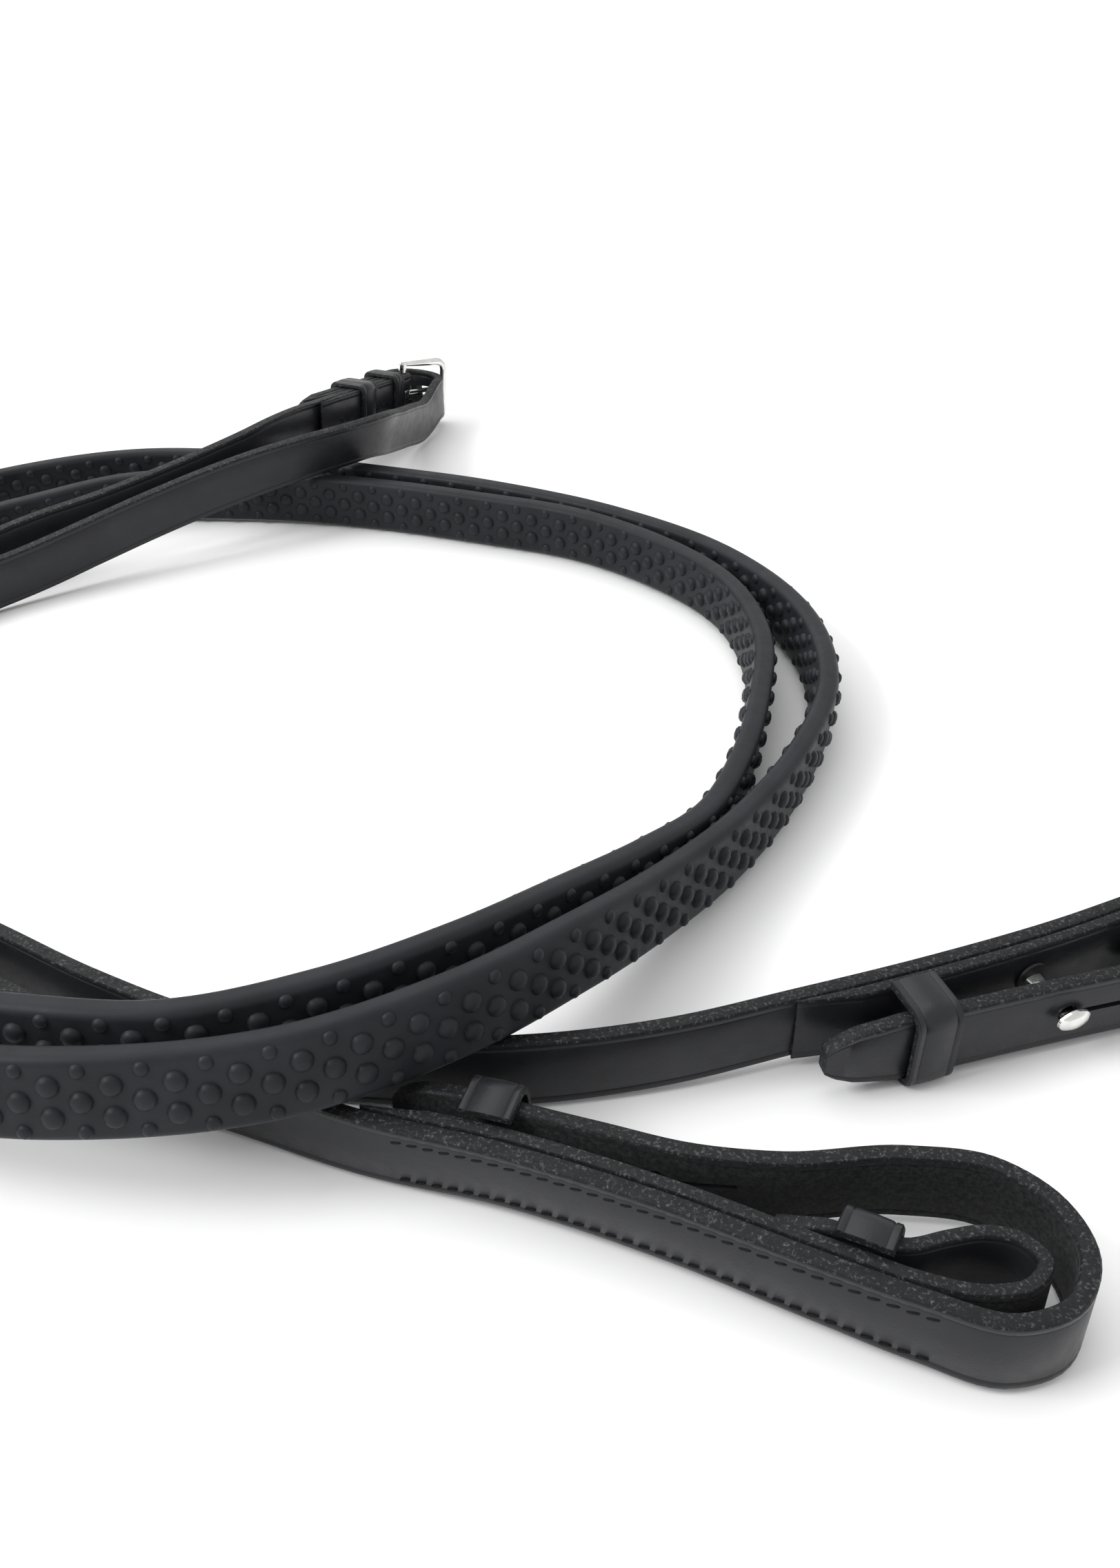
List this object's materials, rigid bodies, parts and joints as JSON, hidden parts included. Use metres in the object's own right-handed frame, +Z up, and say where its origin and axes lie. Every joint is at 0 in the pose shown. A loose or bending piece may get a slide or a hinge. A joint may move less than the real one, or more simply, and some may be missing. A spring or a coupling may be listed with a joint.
{
  "type": "rubber-grip leather reins",
  "caption": "Pair of black leather riding reins with pimpled rubber grips, a hook-stud loop at each bit end and a buckle joining the hand ends, lying in a loose coil.",
  "frame": {"origin": "on the surface the reins lie on, under the middle of the whole coil", "axes": "+Z up from the surface; +Y from the bit ends' side towards the buckle; +X towards the bit ends"},
  "size_m": [0.3917, 0.4331, 0.0339],
  "materials": {
    "strap_leather": "smooth black bridle leather with a waxed sheen",
    "core_leather": "plain dyed leather",
    "rubber": "matte black pimpled rubber",
    "nickel": "polished nickel plate",
    "thread": "waxed black thread"
  },
  "bodies": {
    "straps": {"rein_a_hand_strap": "strap_leather", "rein_a_core": "core_leather", "rein_a_grip": "rubber", "rein_a_bit_strap": "strap_leather", "rein_a_lining": "strap_leather", "rein_a_outer_keeper": "strap_leather", "rein_a_inner_keeper": "strap_leather", "rein_a_hook_stud": "nickel", "rein_a_stud_plate": "nickel", "rein_a_bit_stitching": "thread", "rein_a_grip_stitching": "thread", "rein_b_hand_strap": "strap_leather", "rein_b_core": "core_leather", "rein_b_grip": "rubber", "rein_b_bit_strap": "strap_leather", "rein_b_lining": "strap_leather", "rein_b_outer_keeper": "strap_leather", "rein_b_inner_keeper": "strap_leather", "rein_b_hook_stud": "nickel", "rein_b_stud_plate": "nickel", "rein_b_bit_stitching": "thread", "rein_b_grip_stitching": "thread", "buckle_chape": "strap_leather", "fixed_keeper": "strap_leather", "chape_stitching": "thread"},
    "buckle": {"buckle_frame": "nickel"},
    "prong": {"buckle_prong": "nickel"},
    "runner": {"runner": "strap_leather"}
  },
  "joints": [
    {"name": "buckle_swing", "type": "hinge", "parent": "straps", "child": "buckle", "pos_m": [-0.0234, 0.2033, 0.0144], "axis": [-0.0544, -0.1281, -0.9903], "range_deg": [0, 18]},
    {"name": "prong_swing", "type": "hinge", "parent": "straps", "child": "prong", "pos_m": [-0.0234, 0.2033, 0.0144], "axis": [0.0544, 0.1281, 0.9903], "range_deg": [0, 10]},
    {"name": "runner_slide", "type": "slide", "parent": "straps", "child": "runner", "axis": [-0.3869, -0.9115, 0.1392], "range_m": [-0.012, 0.012]}
  ]
}
